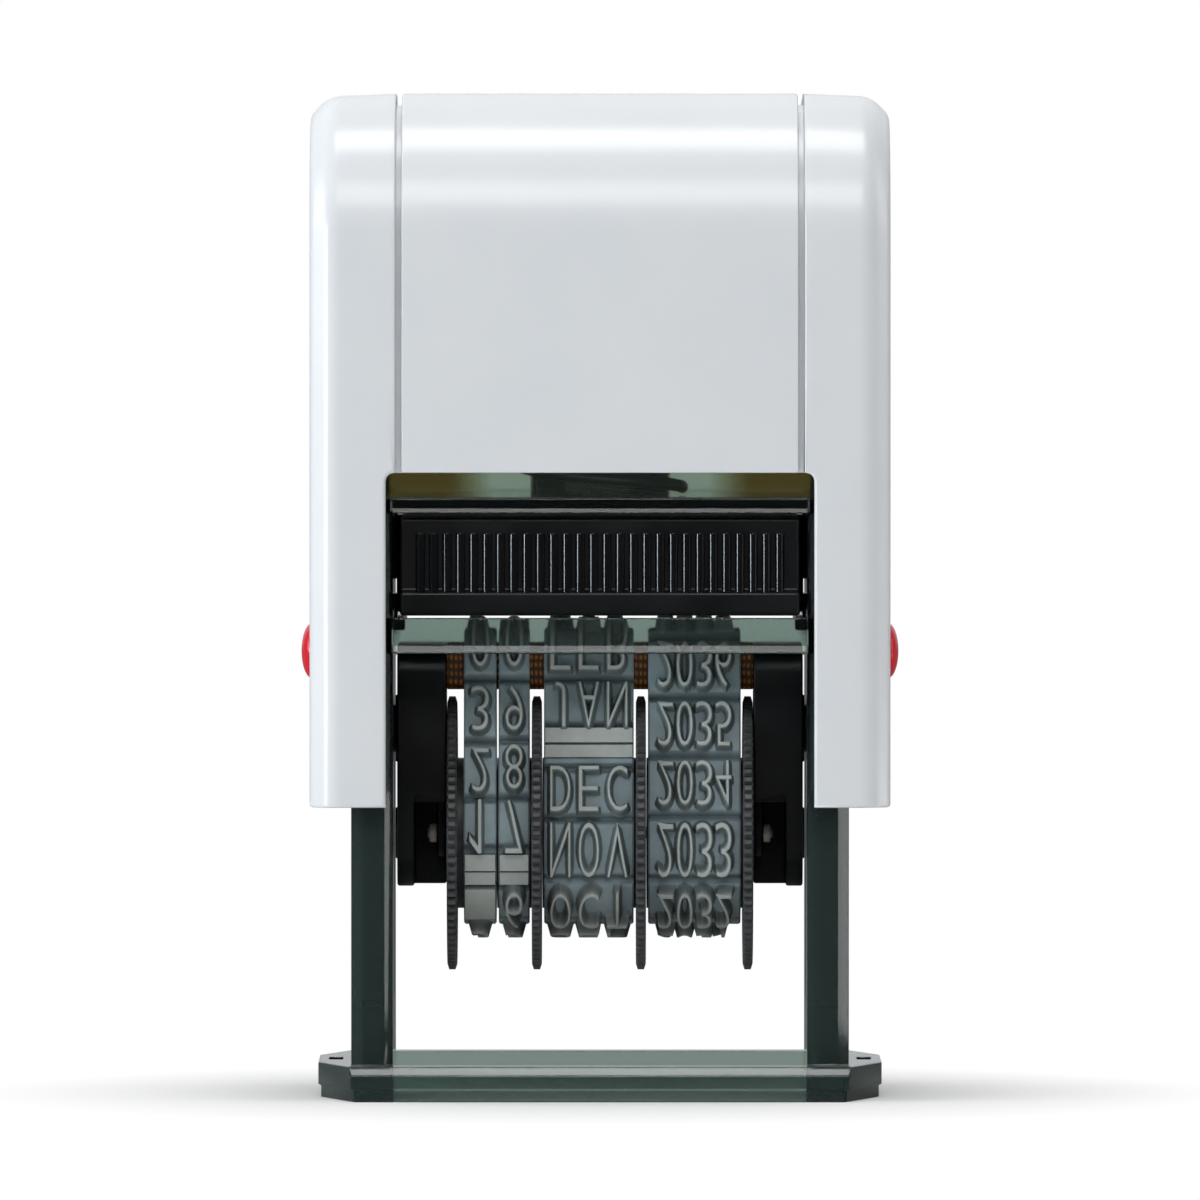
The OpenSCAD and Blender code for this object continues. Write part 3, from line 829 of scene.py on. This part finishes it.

# %% [markdown]
# ## Return spring
# A coil spring pushes the cap up. It follows a helix, so Geometry Nodes sweeps a round wire along
# a Spiral curve over the height of the spring's solid. As the cap goes down the real spring
# shortens.

# %% Build the spring
spring_low, spring_high = box_mm("return_spring")
WIRE_R, COILS, CEILING_GAP = 0.55, 8, 0.6
spring_len = spring_high.z - spring_low.z
spring_tree, given = new_tree(
    "coil spring", Coils="Float", Radius="Float", Height="Float", Wire="Float", Foot="Vector")
helix = add(spring_tree, "CurveSpiral", {
    "Resolution": 40, "Rotations": given["Coils"], "Start Radius": given["Radius"],
    "End Radius": given["Radius"], "Height": given["Height"]})
wire = add(spring_tree, "CurvePrimitiveCircle", {"Resolution": 12, "Radius": given["Wire"]})
swept = add(spring_tree, "CurveToMesh", {
    "Curve": helix, "Profile Curve": wire, "Fill Caps": True})
moved = add(spring_tree, "Transform", {"Geometry": swept, "Translation": given["Foot"]})
close_tree(spring_tree, given, moved)
spring = grow(
    "return_spring_coil", spring_tree, Coils=float(COILS), Radius=(spring_high.x - WIRE_R) * MM,
    Height=(spring_len - 2 * WIRE_R) * MM, Wire=WIRE_R * MM,
    Foot=(0, 0, (spring_low.z + WIRE_R) * MM), Finish=spring_wire)
mount(settle(spring), spring_wire, "spring_steel", "base", "return_spring")
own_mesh(spring)

# %% [markdown]
# ## Lock buttons, pins and axle
# All of these are turned shapes about a line along X: a button is a flange, a stem and a dome;
# a pin, the axle and its two clips are rods with chamfered ends. Each is a list of x and radius
# turned round, mirrored for the left side.

# %% Build the buttons and the pins
FLANGE_R, FLANGE_T, DOME_H, DOME_STEPS = 3.1, 0.6, 0.9, 8
RIM_ROUND, RIM_IN, PIN_CHAMFER = 0.12, 0.04, 0.25
stem_r = BUTTON_R - FIT
dome_r = stem_r - RIM_IN
for label, side in SIDES.items():
    inside, tip = sorted(abs(end.x) for end in box_mm(label + "_button"))
    flange_out, rim = inside + FLANGE_T, tip - DOME_H
    profile = [
        (inside, 0), (inside, FLANGE_R), (flange_out, FLANGE_R), (flange_out, stem_r),
        (rim - RIM_ROUND, stem_r), (rim, dome_r)]
    for i in range(1, DOME_STEPS):
        a = math.radians(90 * i / DOME_STEPS)
        profile.append((rim + DOME_H * math.sin(a), dome_r * math.cos(a)))
    profile.append((tip, 0))
    button = turned(label + "_button_red", profile, button_z, side=side)
    mount(settle(button), red_abs, "red_plastic", label + "_lock", label + "_button")

    x0, x1 = sorted(abs(end.x) for end in box_mm(label + "_pivot_pin"))
    profile = chamfered(x0, x1, pin_r, PIN_CHAMFER)
    pin = turned(label + "_pivot_pin_black", profile, pivot_z, side=side)
    mount(settle(pin, sharp=30), black_abs, "black_plastic", "carrier", label + "_pivot_pin")

# %% Build the axle and its clips
AXLE_CHAMFER, CLIP_T, CLIP_CHAMFER, CLIP_FIT = 0.12, 0.65, 0.1, 0.03
axle_low, axle_high = box_mm("wheel_axle")
axle_z = (axle_low.z + axle_high.z) / 2
axle_r = (axle_high.z - axle_low.z) / 2
profile = chamfered(-axle_high.x, axle_high.x, axle_r, AXLE_CHAMFER)
axle = turned("wheel_axle_steel", profile, axle_z, steps=24)
mount(settle(axle, sharp=30), nickel, "steel", "carrier", "wheel_axle")

clip_high = box_mm("axle_clips")[1]
profile = chamfered(
    clip_high.x - CLIP_T, clip_high.x, clip_high.y, CLIP_CHAMFER, bore=axle_r + CLIP_FIT)
clips = joined("axle_clips_steel", [
    turned("ring", profile, axle_z, steps=32, side=side) for side in SIDES.values()])
mount(settle(clips, sharp=30), nickel, "steel", "carrier", "axle_clips")

# %% [markdown]
# ## Carrier plates and platen bar
# The two side plates hold the pins, the axle and the bar that backs the bands at the printing
# line. Their solids are right, so softened copies take the finish. In the photograph the plates
# all but touch the outer wheels, so their inner faces come in by a quarter of a millimetre.

# %% Build the plates and the bar
INNER_SKIN, AROUND = 0.26, 0.1
bar_high = box_mm("platen_bar")[1]


def move_ends(obj, near, far):
    """Moves the points between two distances from the middle inwards by the plates' skin."""
    for v in obj.data.vertices:
        if near * MM < abs(v.co.x) < far * MM:
            v.co.x -= math.copysign(INNER_SKIN * MM, v.co.x)


for label in SIDES:
    plate = cad_copy(label + "_carrier_plate_black", label + "_carrier_plate")
    move_ends(plate, 0, bar_high.x + AROUND)
    soften(plate, 0.2, angle=40)
    mount(settle(plate), black_abs, "black_plastic", "carrier", label + "_carrier_plate")
bar = cad_copy("platen_bar_laminate", "platen_bar")
move_ends(bar, bar_high.x - AROUND, bar_high.x + AROUND)
soften(bar, 0.12, angle=40)
mount(settle(bar), laminate, "laminate", "carrier", "platen_bar")

# %% [markdown]
# ## The path of a date band
# Each band is a rubber loop round a wheel's hub below and the platen bar above. Its path is a
# short flat, a tight turn, a straight lean and a big turn, the same at the front and the rear.
# One function gives the place and the way out at any length along it, and everything on the
# band is bent with that function.

# %% Lengths along the loop
BAND_T, RELIEF, BAR_GAP = 1.1, 1.2, 0.05
FLAT, TURN, HUB_MID = 1.6, 1.45, 7.45
rise = bar_high.z + BAR_GAP + BAND_T / 2 - TURN - axle_z
span = math.hypot(rise, FLAT)
lean = math.asin((HUB_MID - TURN) / span) - math.atan2(FLAT, rise)
run = math.sqrt(span ** 2 - (HUB_MID - TURN) ** 2)
steep = math.pi / 2 - lean
turn_end = FLAT + TURN * steep
run_end = turn_end + run
half_loop = run_end + HUB_MID * (math.pi / 2 + lean)
loop = 2 * half_loop


def on_loop(s, out):
    """Depth and height at a length s from the top, down the front, and a distance out."""
    s = (s + half_loop) % loop - half_loop
    q = abs(s)
    if q <= FLAT:
        y, z, tilt = -q, rise + TURN, 0
    elif q <= turn_end:
        tilt = (q - FLAT) / TURN
        y, z = -FLAT - TURN * math.sin(tilt), rise + TURN * math.cos(tilt)
    elif q <= run_end:
        tilt, u = steep, q - turn_end
        y = -FLAT - TURN * math.sin(steep) - u * math.sin(lean)
        z = rise + TURN * math.cos(steep) - u * math.cos(lean)
    else:
        tilt = steep + (q - run_end) / HUB_MID
        y, z = -HUB_MID * math.sin(tilt), HUB_MID * math.cos(tilt)
    y, z = y - out * math.sin(tilt), z + out * math.cos(tilt)
    return (y if s >= 0 else -y), axle_z + z


print("loop length in mm:", round(loop, 2))

# %% [markdown]
# ## Raised characters
# Numbers and months stand up from the rubber with drafted sides, as they left their mould. Each
# is a Text object turned to a mesh once, set to the height and the narrow width of band type,
# cut across every half millimetre so that it can bend, and pushed out at its foot for the draft.

# %% A shape that can bend, with drafted sides
TYPE_H, CUTS = 4.0, 9
DRAFT, SLAB_DRAFT, FOOT = 0.34, 0.06, -0.12


def bend_cuts(bm, height):
    """Cuts a flat shape across, so that it can follow a curve."""
    for i in range(1, CUTS):
        bmesh.ops.bisect_plane(
            bm, geom=bm.verts[:] + bm.edges[:] + bm.faces[:], dist=1e-5,
            plane_co=(0, height * (i / CUTS - 0.5), 0), plane_no=(0, 1, 0))


def drafted(bm, draft):
    """Pushes the foot of a shape outwards, and returns its points and faces."""
    bm.normal_update()
    foot = [v for v in bm.verts if v.co.z < FOOT + 0.05]
    moves = []
    for v in foot:
        way = Vector((v.normal.x, v.normal.y, 0))
        moves.append(way.normalized() * draft if way.length > 0.05 else Vector())
    for v, move in zip(foot, moves):
        v.co += move
    bm.verts.index_update()
    result = [tuple(v.co) for v in bm.verts], [[v.index for v in f.verts] for f in bm.faces]
    bm.free()
    return result


def slab(width, height, up):
    """A plain raised slab, for the splice bars and the blank place."""
    bm = bmesh.new()
    bmesh.ops.create_cube(bm, size=1)
    for v in bm.verts:
        v.co = (v.co.x * width, v.co.y * height, FOOT + (v.co.z + 0.5) * (up - FOOT))
    bend_cuts(bm, height)
    return drafted(bm, SLAB_DRAFT)


print("cuts across a shape:", CUTS - 1)

# %% A character as points and faces
ONE = ((0.12, 0), (0.161, 0), (0.161, 0.63), (0.12, 0.63), (0, 0.49), (0, 0.42), (0.12, 0.55))
ONE_T, ONE_ASIDE = 0.2, -0.4
glyphs = {}


def flagged_one():
    """The figure 1 with its flag, which the font leaves out."""
    bm = bmesh.new()
    face = bm.faces.new([bm.verts.new((x, y, 0)) for x, y in ONE])
    top = bmesh.ops.extrude_face_region(bm, geom=[face])["geom"]
    raised = [v for v in top if isinstance(v, bmesh.types.BMVert)]
    bmesh.ops.translate(bm, vec=(0, 0, ONE_T), verts=raised)
    bmesh.ops.recalc_face_normals(bm, faces=bm.faces)
    return bm


def typeset(letter):
    """A letter of the font as a thin solid."""
    text = bpy.data.curves.new("type", "FONT")
    text.body, text.extrude, text.offset = letter, 0.1, -0.026
    text.bevel_depth, text.bevel_resolution, text.resolution_u = 0.008, 1, 4
    obj = bpy.data.objects.new("type", text)
    mesh = bpy.data.meshes.new_from_object(obj)
    bm = bmesh.new()
    bm.from_mesh(mesh)
    bpy.data.objects.remove(obj)
    bpy.data.meshes.remove(mesh)
    bmesh.ops.remove_doubles(bm, verts=bm.verts, dist=1e-4)
    return bm


def glyph(letter, width):
    """A raised character about the origin, x across, y along the band and z outwards."""
    if (letter, width) in glyphs:
        return glyphs[letter, width]
    bm = flagged_one() if letter == "1" else typeset(letter)
    low = [min(v.co[i] for v in bm.verts) for i in range(3)]
    high = [max(v.co[i] for v in bm.verts) for i in range(3)]
    wide = min(width, TYPE_H * (high[0] - low[0]) / (high[1] - low[1]))
    aside = ONE_ASIDE if letter == "1" else 0
    for v in bm.verts:
        x, y, z = ((v.co[i] - (low[i] + high[i]) / 2) / (high[i] - low[i]) for i in range(3))
        v.co = (x * wide + aside, y * TYPE_H, FOOT + (z + 0.5) * (RELIEF - FOOT))
    bend_cuts(bm, TYPE_H)
    glyphs[letter, width] = drafted(bm, DRAFT)
    return glyphs[letter, width]


print("points in the figure 8:", len(glyph("8", 1.55)[0]))

# %% [markdown]
# ## The four date bands
# A band is a closed grid along its loop, thinned by a soft groove between places, with its
# characters set on it. The type reads upside down at rest, because the carrier hangs turned over
# until the cap is pressed. Two bars mark where a band was spliced.

# %% Build a band
GROOVE_DEEP, GROOVE_WIDE, GROOVE_DARK = 0.5, 0.55, 0.6
STEPS, CORNER = 330, 0.14
BARS, PLATE = "bars", "plate"
SPLICE = ((-0.8, 1.3, 0.5), (0.6, 1.1, 0.3))
PLATE_H, PLATE_UP, SLAB_INSET = 3.4, 0.6, 0.2
TYPE_STEP = {1: 0, 3: 2.5, 4: 1.7}
TYPE_W = {1: 1.5, 3: 1.75, 4: 1.35}


def build_band(name, low_x, high_x, places):
    """A loop with raised type; places are (length from the top, what stands there)."""
    wide, middle = high_x - low_x, (low_x + high_x) / 2
    places = sorted(places)
    marks = [s for s, what in places]
    grooves = [(a + b) / 2 for a, b in zip(marks, marks[1:] + [marks[0] + loop])]
    points, raised, faces = [], [], []

    def put(x, s, out, up):
        points.append((x, *on_loop(s, out)))
        raised.append(up)
        return len(points) - 1

    def stand(shape, x, s):
        shift = len(points)
        face = max(pz for px, py, pz in shape[0])
        for px, py, pz in shape[0]:
            put(x + px, s + py, BAND_T / 2 + pz, max(pz, 0) / face)
        faces.extend([[i + shift for i in f] for f in shape[1]])

    rings = []
    for i in range(STEPS):
        s = loop * i / STEPS
        near = min(abs((s - g + half_loop) % loop - half_loop) for g in grooves)
        t = max(0, 1 - near / GROOVE_WIDE)
        top = BAND_T / 2 - GROOVE_DEEP * t * t * (3 - 2 * t)
        half = [(0, -BAND_T / 2), (0, top - CORNER), (CORNER, top), (wide / 3, top)]
        outline = [(low_x + x, out) for x, out in half]
        outline += [(high_x - x, out) for x, out in reversed(half)]
        # raise falls below 0 along each groove, and the finish turns that into painted shade.
        rings.append([put(x, s, out, -GROOVE_DARK * t) for x, out in outline])
    for a, b in zip(rings, rings[1:] + rings[:1]):
        n = len(a)
        faces += [(a[j], a[(j + 1) % n], b[(j + 1) % n], b[j]) for j in range(n)]
    for s, what in places:
        if what == BARS:
            for step, height, up in SPLICE:
                stand(slab(wide - SLAB_INSET, height, up), middle, s + step)
        elif what == PLATE:
            stand(slab(wide - SLAB_INSET, PLATE_H, PLATE_UP), middle, s)
        else:
            step, width = TYPE_STEP[len(what)], TYPE_W[len(what)]
            for i, letter in enumerate(what):
                stand(glyph(letter, width), middle + (i - (len(what) - 1) / 2) * step, s)
    mesh = plain_mesh(name, points, faces)
    mesh.attributes.new(RAISE, "FLOAT", "POINT").data.foreach_set("value", raised)
    rework(mesh, lambda bm: bmesh.ops.recalc_face_normals(bm, faces=bm.faces))
    return settle(linked(name, mesh), sharp=35)


print("steps round a band:", STEPS)

# %% Set the dates
def onwards(start, step, marks):
    """Marks at even steps after a start."""
    return [(start + step * (i + 1), mark) for i, mark in enumerate(marks)]


spread = {
    "tens": [
        (3.5, "0"), (9.3, "3"), (14.85, "2"), (19.6, "1"), (23.3, BARS), (26.45, PLATE),
        *onwards(26.45, 5.15, "3210321")],
    "units": [
        (3.5, "0"), (9.3, "9"), (14.6, "8"), (19.6, "7"), (23.3, BARS), (26.7, "6"),
        *onwards(26.7, 5.13, "54321"), (57.5, PLATE), (62.6, PLATE)],
    "month": [
        (3.8, "FEB"), (8.95, "JAN"), (12.4, BARS), (16.55, "DEC"), (21.4, "NOV"), (26.75, "OCT"),
        *onwards(26.75, 5.13, ("SEP", "AUG", "JUL", "JUN", "MAY", "APR", "MAR"))],
    "year": [(loop / 12 * i, str(2037 - i)) for i in range(12)],
}
for label, places in spread.items():
    low, high = box_mm(label + "_band")
    band = build_band(label + "_band_rubber", low.x, high.x, places)
    mount(band, rubber, "band_rubber", "carrier", label + "_band")

# %% [markdown]
# ## Thumb wheels
# Each band is moved by a thin toothed wheel beside it, whose hub reaches under the band. The disc
# and hub are turned; the teeth repeat round the rim, so Geometry Nodes sets one tapered tooth at
# the axle and turns copies of it by their index. Each hub but the first ends in a thin spacer that
# darkens the slit beside its neighbour.

# %% A tree that sets teeth round a rim
tooth_tree, given = new_tree(
    "rim teeth", Disc="Object", Teeth="Int", Centre="Vector", Reach="Vector", Size="Vector")
disc = add(tooth_tree, "ObjectInfo", {"Object": given["Disc"]})
tooth = add(tooth_tree, "MeshCone", {
    "Vertices": 4, "Radius Top": 0.45, "Radius Bottom": 0.7071, "Depth": 1.0})
square = add(tooth_tree, "Transform", {"Geometry": tooth, "Rotation": (0, 0, math.pi / 4)})
sized = add(tooth_tree, "Transform", {
    "Geometry": square, "Translation": given["Reach"], "Scale": given["Size"]})
hubs = add(tooth_tree, "Points", {"Count": given["Teeth"], "Position": given["Centre"]})
number = add(tooth_tree, "InputIndex")
share = reckon("DIVIDE", number, given["Teeth"])
about_x = add(tooth_tree, "ShaderNodeCombineXYZ", {
    "X": reckon("MULTIPLY", share, 2 * math.pi)})
round_rim = add(tooth_tree, "InstanceOnPoints", {
    "Points": hubs, "Instance": sized, "Rotation": about_x})
solid = add(tooth_tree, "RealizeInstances", {"Geometry": round_rim})
both = add(tooth_tree, "JoinGeometry", {"Geometry": solid})
tooth_tree.links.new(disc.outputs["Geometry"], both.inputs["Geometry"])
close_tree(tooth_tree, given, both)

# %% Build the four wheels
WHEEL_T, HUB_R, RIM_CUT, SPACER = 0.87, 6.6, 0.08, 0.15
TEETH, TOOTH, TOOTH_W, TOOTH_SUNK = 94, 0.4, 0.5, 0.1
for label in spread:
    low, high = box_mm(label + "_wheel")
    root, bore_r = (high.z - low.z) / 2 - TOOTH, axle_r + FIT
    side, spacer = (1, 0) if label == "tens" else (-1, SPACER)
    disc_x, hub_x = sorted(side * end.x for end in (low, high))
    disc_end, hub_end = disc_x + WHEEL_T, hub_x + spacer
    profile = chamfered(disc_x, disc_end, root, RIM_CUT, bore_r)[:-1]
    profile += [(disc_end, HUB_R), (hub_end, HUB_R), (hub_end, bore_r)]
    plain = turned("plain_disc", profile, axle_z, steps=96, side=side)
    wheel = grow(
        label + "_wheel_black", tooth_tree, Disc=plain, Teeth=TEETH,
        Centre=(side * (disc_x + WHEEL_T / 2) * MM, 0, axle_z * MM),
        Reach=(0, 0, (root + (TOOTH - TOOTH_SUNK) / 2) * MM),
        Size=(WHEEL_T * MM, TOOTH_W * MM, (TOOTH + TOOTH_SUNK) * MM), Finish=dusty_abs)
    bpy.data.objects.remove(plain)
    settle(wheel, sharp=30)
    mount(wheel, dusty_abs, "black_plastic", label + "_wheel_body", label + "_wheel")

# %% [markdown]
# ## Floor, light and camera
# The stamp stands on a plain white floor that runs out into a white room. Near the stamp the
# floor is ordinary paint and takes its shadow; further off it is simply white to the camera. A
# wide softbox overhead does most of the work, one in front lights the lips of the clear frame, and
# dimmer ones fill the sides. A low card at the right shows as a pale strip along the leg's bevel.

# %% Floor
FLOOR_X, FLOOR_FRONT, FLOOR_REAR = 2000, -2000, 6000
NEAR_FLOOR, MIRROR_Y, MIRROR_DIM = (20 * MM, 55 * MM), (-60 * MM, 20 * MM), (0.05, 0.15)
floor = linked("floor", plain_mesh("floor", [
    (-FLOOR_X, FLOOR_FRONT, 0), (FLOOR_X, FLOOR_FRONT, 0),
    (FLOOR_X, FLOOR_REAR, 0), (-FLOOR_X, FLOOR_REAR, 0)], [(0, 1, 2, 3)]))


def seen(place):
    """The ways of sight, and whether the camera looks straight or through clear plastic."""
    sight = add(place, "LightPath").outputs
    return sight, reckon("MAXIMUM", sight["Is Camera Ray"], sight["Is Transmission Ray"])


def glow(place, kind, colour, strength):
    """A surface or a sky that gives light of its own."""
    return add(place, kind, {"Color": linear(colour), "Strength": strength})


paint, where = new_finish("white_floor_paint")
sight, looked = seen(where)
far = add(where, "VectorMath", {0: where}, operation="LENGTH").outputs["Value"]
depth = add(where, "SeparateXYZ", {"Vector": where}).outputs["Y"]
matt = add(where, "BsdfDiffuse", {"Color": linear("#FAFAFA")})
bright = glow(where, "Emission", "#FFFFFF", 1.0)
dim = glow(where, "Emission", "#FFFFFF", remap(depth, *MIRROR_Y, *MIRROR_DIM))
share = reckon("MULTIPLY", looked, remap(far, *NEAR_FLOOR))
mirrored = reckon("SUBTRACT", sight["Is Glossy Ray"], sight["Is Transmission Ray"], clamp=True)
surface = layer(mirrored, layer(share, matt, bright), dim)
add(where, "OutputMaterial", {"Surface": surface})
floor.data.materials.append(paint)
print("floor width in mm:", 2 * FLOOR_X)

# %% Room
ROOM_TINT = "#F4F7FA"
room = bpy.data.worlds.new("white_room")
room.use_nodes = True
tree = room.node_tree
tree.nodes.clear()
sight, looked = seen(tree)
way = add(tree, "TexCoord").outputs["Generated"]
spot = add(tree, "SeparateXYZ", {"Vector": way}).outputs
over = reckon("ADD", spot["Y"], spot["Z"])
behind, above = remap(over, -0.4, 0.8, *MIRROR_DIM), remap(over, 0.8, 1.4, 0.0, 1.15)
mirrored = glow(tree, "Background", ROOM_TINT, reckon("ADD", behind, above))
soft_light = glow(tree, "Background", ROOM_TINT, 0.15)
white = glow(tree, "Background", "#FFFFFF", 1.0)
dim = layer(sight["Is Glossy Ray"], soft_light, mirrored)
add(tree, "OutputWorld", {"Surface": layer(looked, dim, white)})
scene.world = room
print("room:", room.name)

# %% Softboxes
def aimed(obj, place, aim):
    """Puts an object at a place and turns it to an aim, both in metres."""
    obj.location = place
    obj.rotation_euler = (Vector(aim) - Vector(place)).to_track_quat("-Z", "Y").to_euler()
    return obj


MIDDLE = (0, 0, 0.044)


def softbox(name, place, size, watts, colour="#FFFFFF", aim=MIDDLE, card=False):
    """A lamp at a place, turned to an aim, in metres; a card shows in gloss alone."""
    lamp = bpy.data.lights.new(name, "AREA")
    lamp.color = linear(colour)[:3]
    lamp.shape = "RECTANGLE"
    lamp.size, lamp.size_y = size
    lamp.energy = watts
    obj = aimed(linked(name, lamp), place, aim)
    obj.visible_camera = False
    if card:
        obj.visible_diffuse = obj.visible_transmission = obj.visible_volume_scatter = False


softbox("overhead_softbox", (0, -0.08, 0.75), (0.5, 0.26), 2.4)
softbox("front_softbox", (0, -0.75, 0.55), (0.5, 0.3), 1.82)
softbox("left_strip", (-0.69, -0.4, 0.075), (0.12, 0.14), 1.75, "#DCEAF2")
softbox("left_softbox", (-0.8, -0.12, 0.25), (0.4, 0.4), 2.1)
softbox("right_softbox", (0.85, 0, 0.3), (0.3, 0.5), 0.92)
LEG = (0.021, -0.0125, 0.013)
softbox("right_card", (0.145, *LEG[1:]), (0.05, 0.026), 0.0115, aim=LEG, card=True)
print("lamps:", len(bpy.data.lights))

# %% Camera and finish
FRONT_Y, EYE_Z, AIM_Z = -0.0165, 0.088, 0.04375
DISTANCE, FIELD, SENSOR = 1.8, 0.10435, 36.0
lens = bpy.data.cameras.new("camera")
lens.sensor_width = SENSOR
lens.lens = SENSOR * DISTANCE / FIELD
lens.clip_end = 20
eye = aimed(linked("camera", lens), (0, FRONT_Y - DISTANCE, EYE_Z), (0, FRONT_Y, AIM_Z))
scene.camera = eye
scene.view_settings.view_transform = "Standard"
